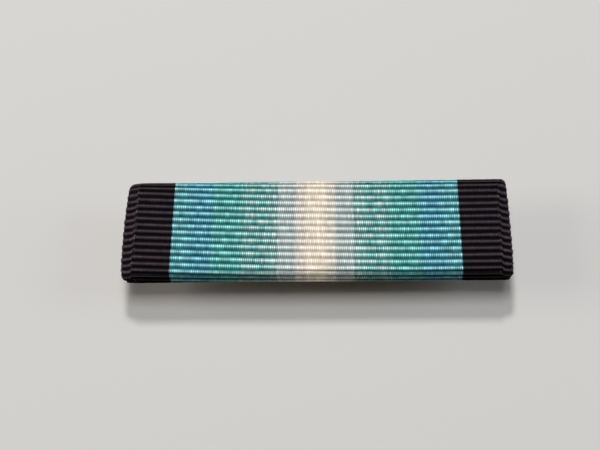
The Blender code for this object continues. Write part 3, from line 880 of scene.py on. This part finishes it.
def make_solder(name, node, material, seed):
    """An uneven fillet of solder between a fitting's foot and the underside of the bar."""
    rng = np.random.default_rng(seed)
    low, high = box_mm(node)
    bar_bottom = box_mm("mounting_bar")[0][2]
    outline = foot_outline(low, high, SOLDER_CORNER, SOLDER_SPACING)
    count = len(outline)
    knots = count // SOLDER_POINTS_PER_KNOT
    seam = SOLDER_SEAM_POINTS
    spread = wavering(rng, count + 1, knots)[:-1]
    spread = SOLDER_SPREAD * (1.0 + SOLDER_SPREAD_VARIATION * spread)
    climb = wavering(rng, count + 1, knots)[:-1]
    climb = SOLDER_CLIMB * (1.0 + SOLDER_CLIMB_VARIATION * climb)
    for amounts in (spread, climb):
        amounts[:seam] = np.linspace(amounts[-1], amounts[seam], seam)
    section = [(-SOLDER_OVERLAP, 0.0)]
    for angle in np.linspace(0, math.pi / 2, SOLDER_SECTION_POINTS):
        section.append((math.cos(angle) ** 3, math.sin(angle) ** 3))
    section.append((-SOLDER_OVERLAP, 1.0))
    vertices = []
    for (point, direction), out, down in zip(outline, spread, climb):
        for share_out, share_down in section:
            reach = share_out * out if share_out > 0.0 else share_out
            place = point + direction * reach
            vertices.append((place[0] * MM, place[1] * MM, (bar_bottom - share_down * down) * MM))
    size = len(section)
    faces = []
    for index in range(count):
        here = index * size
        there = (index + 1) % count * size
        for step in range(size):
            after = (step + 1) % size
            faces.append((here + step, there + step, there + after, here + after))
    mesh = bpy.data.meshes.new(name)
    mesh.from_pydata(vertices, [], faces)
    fixed = bmesh.new()
    fixed.from_mesh(mesh)
    bmesh.ops.recalc_face_normals(fixed, faces=fixed.faces[:])
    fixed.to_mesh(mesh)
    fixed.free()
    mesh.materials.append(material)
    mesh.shade_smooth()
    solder = bpy.data.objects.new(name, mesh)
    bpy.context.scene.collection.objects.link(solder)
    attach(solder, "holder")


def make_floor():
    """A pale matt floor under the bar."""
    grid = bmesh.new()
    bmesh.ops.create_grid(grid, x_segments=8, y_segments=8, size=0.6)
    mesh = bpy.data.meshes.new("floor")
    grid.to_mesh(mesh)
    grid.free()
    floor = bpy.data.objects.new("floor", mesh)
    bpy.context.scene.collection.objects.link(floor)
    nodes = Nodes("floor_matt")
    nodes.shader.inputs["Base Color"].default_value = (0.47, 0.466, 0.46, 1.0)
    nodes.shader.inputs["Roughness"].default_value = 0.85
    mesh.materials.append(nodes.material)


def area_light(name, position, target, size, power, colour):
    """A square area light, with its place and size in millimetres."""
    data = bpy.data.lights.new(name, "AREA")
    data.shape = "SQUARE"
    data.size = size * MM
    data.energy = power
    data.color = colour
    light = bpy.data.objects.new(name, data)
    light.location = Vector(position) * MM
    direction = Vector(target) * MM - light.location
    light.rotation_euler = direction.to_track_quat("-Z", "Y").to_euler()
    bpy.context.scene.collection.objects.link(light)


def make_lights():
    """A key light from behind, soft side lights and a dim even surround."""
    middle = (0.0, 0.0, 3.0)
    area_light("key_light", (-20.0, 265.0, 425.0), middle, 75.0, 1.58, (1.0, 0.985, 0.965))
    area_light("overhead_light", (0.0, 30.0, 500.0), middle, 220.0, 1.32, (1.0, 0.99, 0.98))
    area_light("left_light", (-420.0, 20.0, 160.0), middle, 200.0, 1.10, (1.0, 0.94, 0.87))
    area_light("right_light", (420.0, 40.0, 180.0), middle, 200.0, 0.60, (0.88, 0.93, 1.0))
    world = bpy.data.worlds.new("surround")
    world.use_nodes = True
    background = world.node_tree.nodes["Background"]
    background.inputs["Color"].default_value = (0.62, 0.66, 0.70, 1.0)
    background.inputs["Strength"].default_value = 0.06
    bpy.context.scene.world = world


def make_camera(path):
    """The camera, in front of the bar and above it, aimed near the middle of the face."""
    face = Vector((0.0, 0.0, path.top)) * MM
    back = Vector((
        math.sin(CAMERA_YAW) * math.cos(CAMERA_ELEVATION),
        -math.cos(CAMERA_YAW) * math.cos(CAMERA_ELEVATION),
        math.sin(CAMERA_ELEVATION),
    ))
    data = bpy.data.cameras.new("camera")
    data.lens = CAMERA_LENS
    data.clip_start = 1.0 * MM
    data.clip_end = 5000.0 * MM
    camera = bpy.data.objects.new("camera", data)
    camera.location = face + back * CAMERA_DISTANCE * MM
    aim = face + Vector((*CAMERA_AIM, 0.0)) * MM
    turn = (aim - camera.location).to_track_quat("-Z", "Y")
    roll = Euler((0.0, 0.0, CAMERA_ROLL)).to_quaternion()
    camera.rotation_euler = (turn @ roll).to_euler()
    bpy.context.scene.collection.objects.link(camera)
    bpy.context.scene.camera = camera


ribbon, fold_path = make_ribbon()
ribbon.data.materials.append(ribbon_material())
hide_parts("ribbon")
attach(ribbon, "ribbon_unit")
metals = dress_metal()
make_solder("hinge_solder", "hinge_bracket", metals["solder_dull"], SEED + 1)
make_solder("catch_solder", "catch_housing", metals["solder_dull"], SEED + 2)
make_floor()
make_lights()
make_camera(fold_path)
bpy.context.scene.view_settings.view_transform = "Standard"
